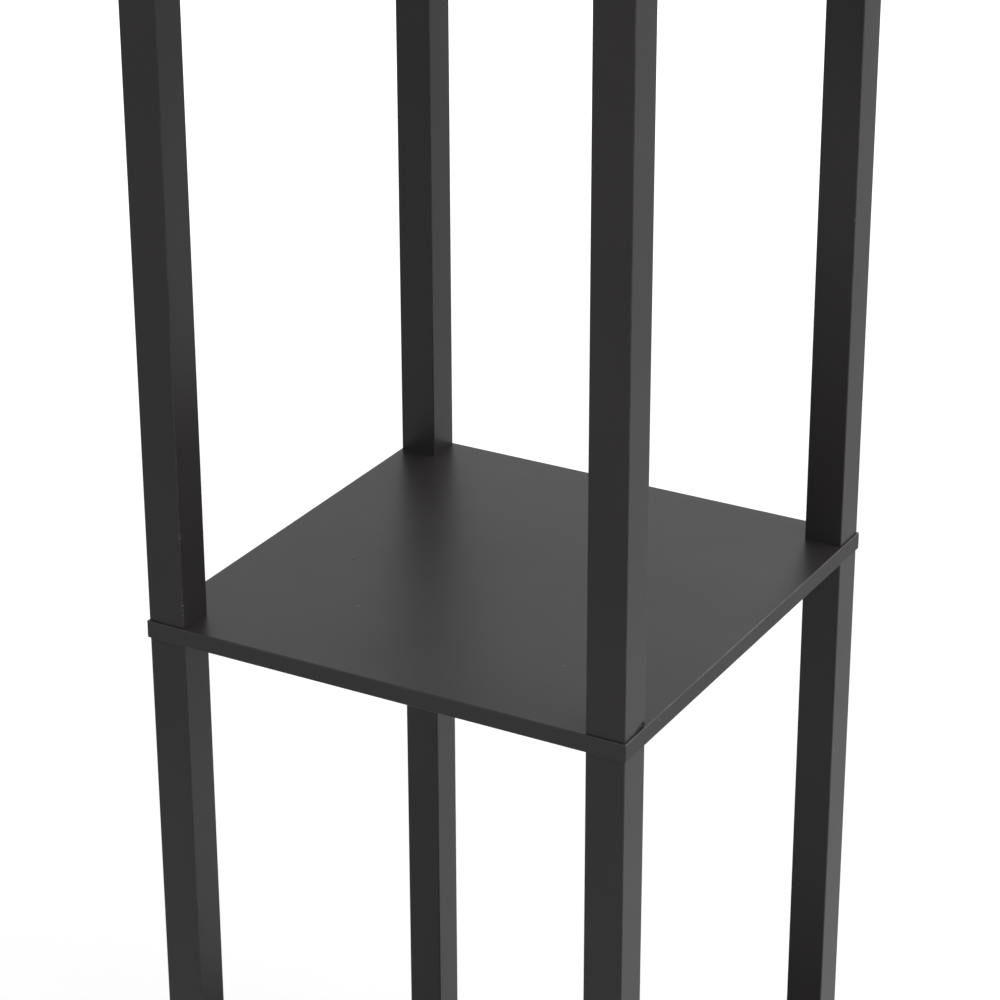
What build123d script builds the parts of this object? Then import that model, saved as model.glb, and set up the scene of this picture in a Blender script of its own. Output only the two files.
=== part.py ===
from build123d import *
from math import radians, sqrt, tan
import os

os.makedirs("parts", exist_ok=True)

# A square tower of four black columns and four boards that carries a lamp holder and a box shade.
# Millimetres. The origin is on the floor under the middle of the tower, +Z is up and -Y is the front.

# ---- Tower ----
board_side = 260.0
board_thickness = 9.0
board_arris_radius = 0.5
board_overhang = 1.0
post_side = 20.0
post_arris_radius = 0.6
foot_post_length = 50.0
bay_height = 380.0

# ---- Foot pads and their screws ----
pad_thickness = 4.0
pad_radius = 8.0
pad_edge_radius = 1.0
pad_screw_radius = 1.5
pad_screw_head_radius = 3.2
pad_screw_length = 10.0
pad_screw_recess = 0.8

# ---- Joints between the post sections ----
stud_radius = 3.0
stud_grip = 11.5
stud_end_chamfer = 0.6
stud_hole_clearance = 0.5
insert_length = 13.0
insert_wall = 1.6
insert_clearance = 0.05
insert_hole_relief = 0.6
thread_clearance = 0.05
deck_screw_grip = 11.0
deck_screw_head_radius = 6.0
deck_screw_head_clearance = 0.1
deck_screw_socket = 4.0
deck_screw_socket_depth = 2.2

# ---- Hollow joints of the wire column ----
nipple_radius = 5.0
nipple_wall = 1.3
nipple_hole_clearance = 0.3
nipple_top_setback = 0.5
column_insert_wall = 2.0
wire_bore_radius = 4.75
nut_across_flats = 14.0
nut_thickness = 4.0
nut_recess_clearance = 0.6

# ---- Lead, its gland and its clips ----
gland_height = 22.0
gland_bore_radius = 3.4
gland_body_wall = 2.0
gland_flange_reach = 2.6
gland_clearance = 0.1
gland_edge_radius = 0.4
lead_radius = 2.8
lead_end_rise = 5.0
lead_arch_height = 30.0
lead_arch_reach = 45.0
lead_fall_length = 30.0
lead_end_distance = 24.0
lead_lift = 0.15
bend_share = 0.45
clip_shares = (0.2, 0.6)
clip_wall = 1.6
clip_gap = 0.2
clip_width = 7.0
clip_flange_reach = 8.0
wire_radius = 1.1
wire_spread = 1.5
wire_turn_height = 12.0
wire_end_gap = 0.4

# ---- Bracket under the lamp holder ----
bracket_rise = 32.0
bracket_half_span = 26.0
bracket_width = 16.0
bracket_thickness = 2.0
bracket_foot_length = 14.0
bracket_bend_radius = 3.0
small_screw_radius = 1.6
small_screw_head_radius = 3.2
small_screw_head_height = 2.0
small_screw_length = 8.0
lamp_nipple_tail = 3.0

# ---- Lamp holder ----
socket_radius = 19.5
socket_wall = 2.5
cap_neck_radius = 9.0
cap_neck_height = 4.0
cap_thread_height = 9.0
cap_shoulder_height = 12.0
cap_height = 20.0
cap_rim_wall = 3.5
shell_height = 40.0
shoulder_base = 8.0
shoulder_height = 3.0
shoulder_reach = 4.0
shell_thread_height = 17.0
shell_thread_pitch = 2.0
shell_thread_depth = 0.5
socket_body_height = 12.0
socket_body_clearance = 0.15
screw_shell_radius = 13.45
screw_shell_sheet = 0.35
screw_shell_height = 26.0
screw_shell_window = 8.0
edison_pitch = 3.6
edison_depth = 0.8
thread_crest_share = 0.3
thread_flank_share = 0.3
contact_rise = 2.6
contact_length = 12.0
contact_width = 5.0
contact_sheet = 0.4

# ---- Pull switch ----
switch_distance = 48.0
switch_radius = 10.0
switch_wall = 2.0
switch_floor = 3.0
switch_edge_radius = 1.2
bushing_tail = 2.0
switch_travel = 10.0
spring_solid_length = 8.7
rod_radius = 1.0
rod_head_radius = 6.2
rod_head_thickness = 2.0
rod_head_clearance = 0.3
rod_tail = 3.0
spring_outer_radius = 5.4
spring_wire = 1.2
bead_radius = 1.6
bead_pitch = 4.2
bead_neck_radius = 0.5
bead_clearance = 0.4
bead_count = 38
bell_length = 22.0
bell_radius = 5.5
bell_neck_radius = 2.0
bell_neck_length = 4.4
bell_lip_length = 2.2
bell_lip_inset = 1.1

# ---- Shade ----
shade_gap = 1.5
shade_height = 356.0
shade_skin_thickness = 0.8
hem_thickness = 0.7
hem_height = 10.0
glue_gap = 0.05
frame_wire_radius = 1.6
frame_bend_radius = 3.6
spoke_radius = 1.3
spoke_flat = 6.0
fitter_clearance = 0.8
fitter_width = 6.5
fitter_thickness = 1.6
fitter_sink = 0.4
spoke_bite = 2.0
ring_height = 8.0
ring_radius = 28.0
ring_clearance = 0.3
ring_gap = 0.1
ring_grip_count = 24
ring_grip_radius = 1.2
ring_edge_radius = 0.8

# ---- Bulb ----
base_crest_radius = 13.1
base_height = 22.0
base_cone_height = 2.5
base_cone_radius = 5.5
tip_radius = 4.5
tip_height = 0.9
tip_gap = 0.1
bulb_radius = 30.0
globe_seat_drop = 8.0
globe_wall = 1.0
housing_height = 45.0
housing_wall = 1.5
housing_collar = 3.0
housing_flare_low = 0.15
housing_flare_high = 0.25
led_board_thickness = 1.6
led_board_setback = 0.3

# ---- Levels of the tower, from the floor up ----
post_centre = board_side / 2 - board_overhang - post_side / 2
level_pitch = board_thickness + bay_height
bottom_shelf_base = pad_thickness + foot_post_length
middle_shelf_base = bottom_shelf_base + level_pitch
upper_shelf_base = middle_shelf_base + level_pitch
deck_base = upper_shelf_base + level_pitch
deck_top = deck_base + board_thickness
shelf_bases = (bottom_shelf_base, middle_shelf_base, upper_shelf_base)

corner_places = {
    "front_left": (-post_centre, -post_centre),
    "front_right": (post_centre, -post_centre),
    "rear_right": (post_centre, post_centre),
    "rear_left": (-post_centre, post_centre),
}
wire_corner = "rear_left"
wire_column = corner_places[wire_corner]
solid_columns = [place for corner, place in corner_places.items() if corner != wire_corner]

stud_hole_radius = stud_radius + stud_hole_clearance
stud_insert_radius = stud_radius + thread_clearance + insert_wall
nipple_bore_radius = nipple_radius - nipple_wall
nipple_thread_radius = nipple_radius + thread_clearance
nipple_hole_radius = nipple_radius + nipple_hole_clearance
column_insert_radius = nipple_thread_radius + column_insert_wall
insert_hole_depth = insert_length + insert_hole_relief

# Levels of the lamp holder above the deck
bracket_top = deck_top + bracket_rise + bracket_thickness
cap_base = bracket_top + nut_thickness
shell_base = cap_base + cap_height
shoulder_top = shell_base + shoulder_base + shoulder_height
socket_body_top = shell_base + socket_body_height
tip_base = socket_body_top + contact_rise + tip_gap


def save(piece, name):
    piece.part.label = name
    export_step(piece.part, f"parts/{name}.step")


def turned(outline, x=0.0, y=0.0):
    """A turned piece: its half outline of (radius, height) points, revolved about an upright axis."""
    with BuildPart() as piece:
        with BuildSketch(Plane(origin=(x, y, 0), x_dir=(1, 0, 0), z_dir=(0, -1, 0))):
            with BuildLine():
                Polyline(*outline, close=True)
            make_face()
        revolve(axis=Axis((x, y, 0), (0, 0, 1)))
    return piece


def thread_profile(radius, base, height, pitch, depth):
    """Points up a thread, as (radius, height): plain rings that stand out by depth, or in below zero."""
    points = [(radius, base)]
    for turn in range(int(height / pitch)):
        middle = base + (turn + 0.5) * pitch
        points += [
            (radius, middle - (thread_crest_share / 2 + thread_flank_share) * pitch),
            (radius + depth, middle - thread_crest_share / 2 * pitch),
            (radius + depth, middle + thread_crest_share / 2 * pitch),
            (radius, middle + (thread_crest_share / 2 + thread_flank_share) * pitch),
        ]
    return points + [(radius, base + height)]


def tubes(places, bases, length, outer_radius, inner_radius):
    """Alike upright tubes: one at each place for each height in bases."""
    with BuildPart() as group:
        for base in bases:
            with BuildSketch(Plane.XY.offset(base)):
                with Locations(*places):
                    Circle(outer_radius)
                    Circle(inner_radius, mode=Mode.SUBTRACT)
            extrude(amount=length)
    return group


def bent_wire(points, radius):
    """A round wire along straight runs, joined by arcs as large as the runs beside them allow."""
    radii = []
    for before, corner, after in zip(points, points[1:], points[2:]):
        half_turn = radians((corner - before).get_angle(after - corner)) / 2
        shorter_run = min((corner - before).length, (after - corner).length)
        radii.append(bend_share * shorter_run / tan(half_turn))
    with BuildPart() as wire:
        with BuildLine() as route:
            FilletPolyline(*points, radius=radii)
        with BuildSketch(Plane(origin=points[0], z_dir=points[1] - points[0])):
            Circle(radius)
        sweep(path=route.wire())
    return wire


# ---- Columns: square sticks cut at each board, with an insert hole in each joined end ----
def post_section(corner, base, length, stands_on_board):
    place = corner_places[corner]
    is_wire_column = corner == wire_corner
    insert_radius = column_insert_radius if is_wire_column else stud_insert_radius
    with BuildPart() as section:
        with BuildSketch(Plane.XY.offset(base)):
            with Locations(place):
                Rectangle(post_side, post_side)
        extrude(amount=length)
        fillet(section.edges().filter_by(Axis.Z), post_arris_radius)
        with BuildSketch(Plane.XY.offset(base + length)):
            with Locations(place):
                Circle(insert_radius + insert_clearance)
        extrude(amount=-insert_hole_depth, mode=Mode.SUBTRACT)
        if stands_on_board:
            with BuildSketch(Plane.XY.offset(base)):
                with Locations(place):
                    Circle(insert_radius + insert_clearance)
            extrude(amount=insert_hole_depth, mode=Mode.SUBTRACT)
        else:
            with BuildSketch(Plane.XY.offset(base)):
                with Locations(place):
                    Circle(pad_screw_radius + insert_clearance)
            extrude(amount=pad_screw_length - pad_thickness + insert_hole_relief, mode=Mode.SUBTRACT)
        if is_wire_column and stands_on_board:
            with BuildSketch(Plane.XY.offset(base)):
                with Locations(place):
                    Circle(wire_bore_radius)
            extrude(amount=length, mode=Mode.SUBTRACT)
        if is_wire_column and not stands_on_board:
            bore_floor = gland_height - gland_hole_radius
            with BuildSketch(Plane.XY.offset(bore_floor)):
                with Locations(place):
                    Circle(wire_bore_radius)
            extrude(amount=base + length - bore_floor, mode=Mode.SUBTRACT)
            with BuildSketch(rear_face):
                Circle(gland_hole_radius)
            extrude(amount=-post_side / 2, mode=Mode.SUBTRACT)
    return section


gland_body_radius = gland_bore_radius + gland_body_wall
gland_hole_radius = gland_body_radius + gland_clearance
rear_face = Plane(
    origin=(wire_column[0], wire_column[1] + post_side / 2, gland_height),
    x_dir=(1, 0, 0),
    z_dir=(0, 1, 0),
)

post_rows = {
    "foot_post": (pad_thickness, foot_post_length),
    "lower_post": (bottom_shelf_base + board_thickness, bay_height),
    "middle_post": (middle_shelf_base + board_thickness, bay_height),
    "upper_post": (upper_shelf_base + board_thickness, bay_height),
}
for row, (row_base, row_length) in post_rows.items():
    for corner in corner_places:
        section = post_section(corner, row_base, row_length, row != "foot_post")
        save(section, f"{row}_{corner}")


# ---- Shelf boards: black lacquered board, clamped between the post sections ----
def shelf_board(base):
    with BuildPart() as board:
        with BuildSketch(Plane.XY.offset(base)):
            Rectangle(board_side, board_side)
        extrude(amount=board_thickness)
        fillet(board.edges(), board_arris_radius)
        with BuildSketch(Plane.XY.offset(base)):
            with Locations(*solid_columns):
                Circle(stud_hole_radius)
            with Locations(wire_column):
                Circle(nipple_hole_radius)
        extrude(amount=board_thickness, mode=Mode.SUBTRACT)
    return board


for name, base in zip(("bottom_shelf", "middle_shelf", "upper_shelf"), shelf_bases):
    save(shelf_board(base), name)

# ---- Places on the deck ----
toward_axis = Vector(1, -1, 0).normalized()
across_lead = Vector(1, 1, 0).normalized()
column_distance = sqrt(2) * post_centre
lead_rest_height = lead_radius + lead_lift
lead_flat_start = column_distance - lead_arch_reach - lead_fall_length
lead_flat_length = lead_flat_start - lead_end_distance
clip_distances = [lead_end_distance + share * lead_flat_length for share in clip_shares]
switch_place = (0.0, -switch_distance)


def over_deck(distance, height, sideways=0.0):
    """A point above the deck, on the line from the lamp's axis to the wire column."""
    return Vector(0, 0, deck_top + height) - toward_axis * distance + across_lead * sideways


clip_inner_radius = lead_radius + clip_gap
clip_outer_radius = clip_inner_radius + clip_wall
clip_screw_offset = clip_outer_radius + clip_flange_reach / 2
bracket_screw_offset = bracket_half_span + bracket_foot_length / 2
small_screw_seats = [(side * bracket_screw_offset, 0.0, bracket_thickness) for side in (-1, 1)]
for clip_distance in clip_distances:
    clip_screw_place = over_deck(clip_distance, 0, clip_screw_offset)
    small_screw_seats.append((clip_screw_place.X, clip_screw_place.Y, clip_wall))
small_screw_places = [(x, y) for x, y, seat in small_screw_seats]

# ---- Top deck: as a shelf, with countersinks, a sunk nut seat, the switch hole and pilot holes ----
nut_recess_radius = nut_across_flats / sqrt(3) + nut_recess_clearance
nut_recess_depth = nut_thickness + nipple_top_setback

with BuildPart() as top_deck:
    with BuildSketch(Plane.XY.offset(deck_base)):
        Rectangle(board_side, board_side)
    extrude(amount=board_thickness)
    fillet(top_deck.edges(), board_arris_radius)
    with Locations(*[(x, y, deck_top) for x, y in solid_columns]):
        CounterSinkHole(
            radius=stud_hole_radius,
            counter_sink_radius=deck_screw_head_radius + deck_screw_head_clearance,
            depth=board_thickness,
            counter_sink_angle=90,
        )
    with Locations((*wire_column, deck_top)):
        CounterBoreHole(
            radius=nipple_hole_radius,
            counter_bore_radius=nut_recess_radius,
            counter_bore_depth=nut_recess_depth,
            depth=board_thickness,
        )
    with BuildSketch(Plane.XY.offset(deck_base)):
        with Locations(switch_place):
            Circle(nipple_hole_radius)
    extrude(amount=board_thickness, mode=Mode.SUBTRACT)
    with BuildSketch(Plane.XY.offset(deck_top)):
        with Locations(*small_screw_places):
            Circle(small_screw_radius + insert_clearance)
    extrude(amount=-small_screw_length, mode=Mode.SUBTRACT)
save(top_deck, "top_deck")

# ---- Foot pads: turned plastic glides, each held by a sunk screw ----
pad_screw_head_height = pad_screw_head_radius - pad_screw_radius
for corner, place in corner_places.items():
    with BuildPart() as foot_pad:
        with BuildSketch():
            with Locations(place):
                Circle(pad_radius)
        extrude(amount=pad_thickness)
        fillet(foot_pad.edges().sort_by(Axis.Z)[0], pad_edge_radius)
        with BuildSketch():
            with Locations(place):
                Circle(pad_screw_head_radius + insert_clearance)
        extrude(amount=pad_screw_recess, mode=Mode.SUBTRACT)
        with Locations((*place, pad_screw_recess + pad_screw_head_height / 2)):
            Cone(
                pad_screw_head_radius + insert_clearance,
                pad_screw_radius + insert_clearance,
                pad_screw_head_height,
                mode=Mode.SUBTRACT,
            )
        with BuildSketch():
            with Locations(place):
                Circle(pad_screw_radius + insert_clearance)
        extrude(amount=pad_thickness, mode=Mode.SUBTRACT)
    save(foot_pad, f"foot_pad_{corner}")

with BuildPart() as pad_screws:
    for x, y in corner_places.values():
        with Locations((x, y, pad_screw_recess + pad_screw_head_height / 2)):
            Cone(pad_screw_head_radius, pad_screw_radius, pad_screw_head_height)
        with BuildSketch(Plane.XY.offset(pad_screw_recess)):
            with Locations((x, y)):
                Circle(pad_screw_radius)
        extrude(amount=pad_screw_length - pad_screw_recess)
save(pad_screws, "pad_screws")

# ---- Studs through the shelves, and the inserts they screw into ----
stud_bases = [base - stud_grip for base in shelf_bases]
stud_length = board_thickness + 2 * stud_grip
insert_bases = [deck_base - insert_length]
for base in shelf_bases:
    insert_bases += [base - insert_length, base + board_thickness]

with BuildPart() as joint_studs:
    for base in stud_bases:
        with BuildSketch(Plane.XY.offset(base)):
            with Locations(*solid_columns):
                Circle(stud_radius)
        extrude(amount=stud_length)
    chamfer(joint_studs.edges().filter_by(GeomType.CIRCLE), stud_end_chamfer)
save(joint_studs, "joint_studs")

stud_thread_radius = stud_radius + thread_clearance
stud_inserts = tubes(solid_columns, insert_bases, insert_length, stud_insert_radius, stud_thread_radius)
save(stud_inserts, "stud_inserts")

# ---- Hollow nipples and inserts of the wire column ----
with BuildPart() as column_nipples:
    for base in shelf_bases + (deck_base,):
        nipple_top = base + board_thickness + stud_grip
        if base == deck_base:
            nipple_top = deck_top - nipple_top_setback
        with BuildSketch(Plane.XY.offset(base - stud_grip)):
            with Locations(wire_column):
                Circle(nipple_radius)
                Circle(nipple_bore_radius, mode=Mode.SUBTRACT)
        extrude(amount=nipple_top - base + stud_grip)
save(column_nipples, "column_nipples")

column_inserts = tubes(
    [wire_column], insert_bases, insert_length, column_insert_radius, nipple_thread_radius
)
save(column_inserts, "column_inserts")

# ---- Deck screws: countersunk, with a hexagon socket ----
deck_screw_head_height = deck_screw_head_radius - stud_radius
with BuildPart() as deck_screws:
    with Locations(*[(x, y, deck_top - deck_screw_head_height / 2) for x, y in solid_columns]):
        Cone(stud_radius, deck_screw_head_radius, deck_screw_head_height)
    with BuildSketch(Plane.XY.offset(deck_base - deck_screw_grip)):
        with Locations(*solid_columns):
            Circle(stud_radius)
    extrude(amount=deck_screw_grip + board_thickness - deck_screw_head_height)
    with BuildSketch(Plane.XY.offset(deck_top)):
        with Locations(*solid_columns):
            RegularPolygon(deck_screw_socket / 2, 6, major_radius=False)
    extrude(amount=-deck_screw_socket_depth, mode=Mode.SUBTRACT)
save(deck_screws, "deck_screws")

# ---- Thin nuts: at the column outlet, under and over the bracket, and under the switch ----
nut_seats = (
    (*wire_column, deck_top - nut_recess_depth),
    (0.0, 0.0, deck_top + bracket_rise - nut_thickness),
    (0.0, 0.0, bracket_top),
    (*switch_place, deck_base - nut_thickness),
)
with BuildPart() as thin_nuts:
    for x, y, base in nut_seats:
        with BuildSketch(Plane.XY.offset(base)):
            with Locations((x, y)):
                RegularPolygon(nut_across_flats / 2, 6, major_radius=False)
                Circle(nipple_thread_radius, mode=Mode.SUBTRACT)
        extrude(amount=nut_thickness)
save(thin_nuts, "thin_nuts")

# ---- Cord gland: a plastic bush in the rear face of the wire column's foot ----
with BuildPart() as cord_gland:
    with BuildSketch(rear_face):
        Circle(gland_body_radius)
    extrude(amount=-(post_side / 2 - wire_bore_radius))
    with BuildSketch(rear_face):
        Circle(gland_body_radius + gland_flange_reach)
    extrude(amount=board_overhang)
    fillet(cord_gland.edges().group_by(Axis.Y)[-1], gland_edge_radius)
    with BuildSketch(rear_face.offset(board_overhang)):
        Circle(gland_bore_radius)
    extrude(amount=-(board_overhang + post_side / 2), mode=Mode.SUBTRACT)
save(cord_gland, "cord_gland")

# ---- Inner lead: up the wire column, over the deck and to the foot of the lamp holder ----
lead_start = Vector(*wire_column, gland_height + gland_bore_radius + lead_end_rise)
inner_lead = bent_wire(
    [
        lead_start,
        over_deck(column_distance, lead_arch_height),
        over_deck(column_distance - lead_arch_reach, lead_arch_height),
        over_deck(lead_flat_start, lead_rest_height),
        over_deck(lead_end_distance, lead_rest_height),
    ],
    lead_radius,
)
save(inner_lead, "inner_lead")

# ---- Fixture wires: lead to holder, lead to switch, and switch to holder ----
supply_wire = bent_wire(
    [
        over_deck(lead_end_distance, lead_rest_height, wire_spread),
        over_deck(0, lead_rest_height, wire_spread),
        over_deck(0, shell_base - deck_top, wire_spread),
    ],
    wire_radius,
)
switch_wall_y = -switch_distance + switch_radius + wire_end_gap
wire_lane = 2 * (wire_spread + wire_radius)
switch_feed = bent_wire(
    [
        over_deck(lead_end_distance, lead_rest_height, -wire_spread),
        over_deck(wire_lane * 2, lead_rest_height, -wire_spread),
        Vector(-wire_lane, -switch_distance / 2, deck_top + lead_rest_height),
        Vector(-wire_spread, switch_wall_y, deck_top + lead_rest_height),
    ],
    wire_radius,
)
switched_wire = bent_wire(
    [
        Vector(wire_spread, switch_wall_y, deck_top + wire_turn_height),
        over_deck(0, wire_turn_height, -wire_spread),
        over_deck(0, shell_base - deck_top, -wire_spread),
    ],
    wire_radius,
)
with BuildPart() as fixture_wires:
    add([supply_wire.part, switch_feed.part, switched_wire.part])
save(fixture_wires, "fixture_wires")

# ---- Lead clips: moulded saddles over the lead, each with one screw ----
with BuildPart() as lead_clips:
    for clip_distance in clip_distances:
        clip_plane = Plane(origin=over_deck(clip_distance, 0), x_dir=across_lead, z_dir=toward_axis)
        with BuildSketch(clip_plane):
            with Locations((0, lead_rest_height)):
                Circle(clip_outer_radius)
            with Locations((0, lead_rest_height / 2)):
                Rectangle(2 * clip_outer_radius, lead_rest_height)
            with Locations((clip_outer_radius, clip_wall / 2)):
                Rectangle(2 * clip_flange_reach, clip_wall)
            with Locations((0, -clip_outer_radius)):
                Rectangle(2 * clip_outer_radius, 2 * clip_outer_radius, mode=Mode.SUBTRACT)
            with Locations((0, lead_rest_height)):
                Circle(clip_inner_radius, mode=Mode.SUBTRACT)
            with Locations((0, lead_rest_height / 2)):
                Rectangle(2 * clip_inner_radius, lead_rest_height, mode=Mode.SUBTRACT)
        extrude(amount=clip_width / 2, both=True)
    with BuildSketch(Plane.XY.offset(deck_top)):
        with Locations(*small_screw_places):
            Circle(small_screw_radius + insert_clearance)
    extrude(amount=clip_wall, mode=Mode.SUBTRACT)
save(lead_clips, "lead_clips")

# ---- Bracket: a bent steel strap that stands over the wiring ----
with BuildPart() as socket_bracket:
    with BuildSketch(Plane.XZ) as strap_outline:
        with Locations((0, deck_top + bracket_rise / 2 + bracket_thickness / 2)):
            Rectangle(2 * bracket_half_span, bracket_rise + bracket_thickness)
        with Locations((0, deck_top + bracket_rise / 2)):
            inner_span = 2 * (bracket_half_span - bracket_thickness)
            Rectangle(inner_span, bracket_rise, mode=Mode.SUBTRACT)
        fillet(strap_outline.vertices().group_by(Axis.Y)[-1], bracket_bend_radius)
        for side in (-1, 1):
            with Locations((side * bracket_screw_offset, deck_top + bracket_thickness / 2)):
                Rectangle(bracket_foot_length, bracket_thickness)
    extrude(amount=bracket_width / 2, both=True)
    with BuildSketch(Plane.XY.offset(bracket_top)):
        Circle(nipple_hole_radius)
    extrude(amount=-bracket_thickness, mode=Mode.SUBTRACT)
    with BuildSketch(Plane.XY.offset(deck_top)):
        with Locations((-bracket_screw_offset, 0), (bracket_screw_offset, 0)):
            Circle(small_screw_radius + insert_clearance)
    extrude(amount=bracket_thickness, mode=Mode.SUBTRACT)
save(socket_bracket, "socket_bracket")

with BuildPart() as small_screws:
    for x, y, seat in small_screw_seats:
        with BuildSketch(Plane.XY.offset(deck_top + seat)):
            with Locations((x, y)):
                Circle(small_screw_head_radius)
        extrude(amount=small_screw_head_height)
        with BuildSketch(Plane.XY.offset(deck_top + seat)):
            with Locations((x, y)):
                Circle(small_screw_radius)
        extrude(amount=-small_screw_length)
save(small_screws, "small_screws")

# ---- Lamp nipple: the threaded tube that carries the lamp holder and passes its wires ----
lamp_nipple_base = deck_top + bracket_rise - nut_thickness - lamp_nipple_tail
lamp_nipple = tubes(
    [(0, 0)],
    [lamp_nipple_base],
    cap_base + cap_thread_height - lamp_nipple_base,
    nipple_radius,
    nipple_bore_radius,
)
save(lamp_nipple, "lamp_nipple")

# ---- Lamp holder: cap, threaded shell with a shoulder, body, screw shell and centre contact ----
socket_cap = turned(
    [
        (nipple_thread_radius, cap_base),
        (cap_neck_radius, cap_base),
        (cap_neck_radius, cap_base + cap_neck_height),
        (socket_radius, cap_base + cap_shoulder_height),
        (socket_radius, cap_base + cap_height),
        (socket_radius - cap_rim_wall, cap_base + cap_height),
        (socket_radius - cap_rim_wall, cap_base + cap_shoulder_height + socket_wall),
        (nipple_thread_radius, cap_base + cap_thread_height),
    ]
)
save(socket_cap, "socket_cap")

shell_top = shell_base + shell_height
shell_outline = (
    [
        (socket_radius - socket_wall, shell_base),
        (socket_radius, shell_base),
        (socket_radius, shell_base + shoulder_base),
        (socket_radius + shoulder_reach, shell_base + shoulder_base),
        (socket_radius + shoulder_reach, shoulder_top),
    ]
    + thread_profile(
        socket_radius, shoulder_top, shell_thread_height, shell_thread_pitch, shell_thread_depth
    )
    + [(socket_radius, shell_top), (socket_radius - socket_wall, shell_top)]
)
socket_shell = turned(shell_outline)
save(socket_shell, "socket_shell")

socket_body = turned(
    [
        (0, shell_base),
        (socket_radius - socket_wall - socket_body_clearance, shell_base),
        (socket_radius - socket_wall - socket_body_clearance, socket_body_top),
        (0, socket_body_top),
    ]
)
save(socket_body, "socket_body")


screw_shell_floor = socket_body_top + screw_shell_sheet
screw_shell_inside = thread_profile(
    screw_shell_radius, screw_shell_floor, screw_shell_height - screw_shell_sheet, edison_pitch, edison_depth
)
screw_shell_outside = [(r + screw_shell_sheet, height) for r, height in reversed(screw_shell_inside)]
screw_shell = turned(
    [(screw_shell_window, socket_body_top), (screw_shell_window, screw_shell_floor)]
    + screw_shell_inside
    + screw_shell_outside
    + [(screw_shell_radius + screw_shell_sheet, socket_body_top)]
)
save(screw_shell, "screw_shell")

with BuildPart() as centre_contact:
    with BuildSketch(Plane.XZ):
        with BuildLine():
            Polyline(
                (-contact_length / 2, socket_body_top),
                (-contact_length / 4, socket_body_top),
                (0, socket_body_top + contact_rise - contact_sheet),
                (contact_length / 4, socket_body_top + contact_rise - contact_sheet),
                (contact_length / 4, socket_body_top + contact_rise),
                (-contact_sheet / 2, socket_body_top + contact_rise),
                (-contact_length / 4 - contact_sheet / 2, socket_body_top + contact_sheet),
                (-contact_length / 2, socket_body_top + contact_sheet),
                close=True,
            )
        make_face()
    extrude(amount=contact_width / 2, both=True)
save(centre_contact, "centre_contact")

# ---- Pull switch: a round case on the deck, whose threaded bushing passes through it ----
spring_base = deck_top + switch_floor
rod_head_base = spring_base + spring_solid_length + switch_travel
rod_head_top = rod_head_base + rod_head_thickness
switch_cavity_top = rod_head_top + rod_head_clearance
switch_top = switch_cavity_top + switch_wall
bead_bore_radius = bead_radius + bead_clearance
bushing_base = deck_base - nut_thickness - bushing_tail
switch_case = turned(
    [
        (bead_bore_radius, bushing_base),
        (nipple_radius, bushing_base),
        (nipple_radius, deck_top),
        (switch_radius, deck_top),
        (switch_radius, switch_top),
        (0, switch_top),
        (0, switch_cavity_top),
        (switch_radius - switch_wall, switch_cavity_top),
        (switch_radius - switch_wall, spring_base),
        (bead_bore_radius, spring_base),
    ],
    *switch_place,
)
with switch_case:
    fillet(switch_case.edges().group_by(Axis.Z)[-1], switch_edge_radius)
save(switch_case, "switch_case")

rod_end = deck_top - rod_tail
pull_rod = turned(
    [
        (0, rod_end),
        (rod_radius, rod_end),
        (rod_radius, rod_head_base),
        (rod_head_radius, rod_head_base),
        (rod_head_radius, rod_head_top),
        (0, rod_head_top),
    ],
    *switch_place,
)
save(pull_rod, "pull_rod")

switch_spring = tubes(
    [switch_place],
    [spring_base],
    rod_head_base - spring_base,
    spring_outer_radius,
    spring_outer_radius - spring_wire,
)
save(switch_spring, "switch_spring")

# ---- Pull chain: hollow beads on short links, and the bell that closes it ----
bead_reach = sqrt(bead_radius**2 - bead_neck_radius**2)
chain_end = rod_end - bead_count * bead_pitch
chain_plane = Plane(origin=(*switch_place, 0), x_dir=(1, 0, 0), z_dir=(0, -1, 0))
with BuildPart() as pull_chain:
    with BuildSketch(chain_plane):
        with BuildLine():
            Line((0, rod_end), (bead_neck_radius, rod_end))
            link_start = rod_end
            for bead in range(bead_count):
                bead_height = rod_end - (bead + 0.5) * bead_pitch
                Line((bead_neck_radius, link_start), (bead_neck_radius, bead_height + bead_reach))
                ThreePointArc(
                    (bead_neck_radius, bead_height + bead_reach),
                    (bead_radius, bead_height),
                    (bead_neck_radius, bead_height - bead_reach),
                )
                link_start = bead_height - bead_reach
            Polyline(
                (bead_neck_radius, link_start),
                (bead_neck_radius, chain_end),
                (0, chain_end),
                (0, rod_end),
            )
        make_face()
    revolve(axis=Axis((*switch_place, 0), (0, 0, 1)))
save(pull_chain, "pull_chain")

bell_shoulder = chain_end - bell_neck_length
bell_lip = chain_end - bell_length + bell_lip_length
bell_end = chain_end - bell_length
with BuildPart() as chain_bell:
    with BuildSketch(chain_plane):
        with BuildLine():
            Polyline((0, chain_end), (bell_neck_radius, chain_end), (bell_neck_radius, bell_shoulder))
            Spline(
                (bell_neck_radius, bell_shoulder),
                (bell_radius, bell_lip),
                tangents=[(0, -1), (0, -1)],
            )
            Polyline(
                (bell_radius, bell_lip),
                (bell_radius - bell_lip_inset, bell_end),
                (0, bell_end),
                (0, chain_end),
            )
        make_face()
    revolve(axis=Axis((*switch_place, 0), (0, 0, 1)))
save(chain_bell, "chain_bell")

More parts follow.
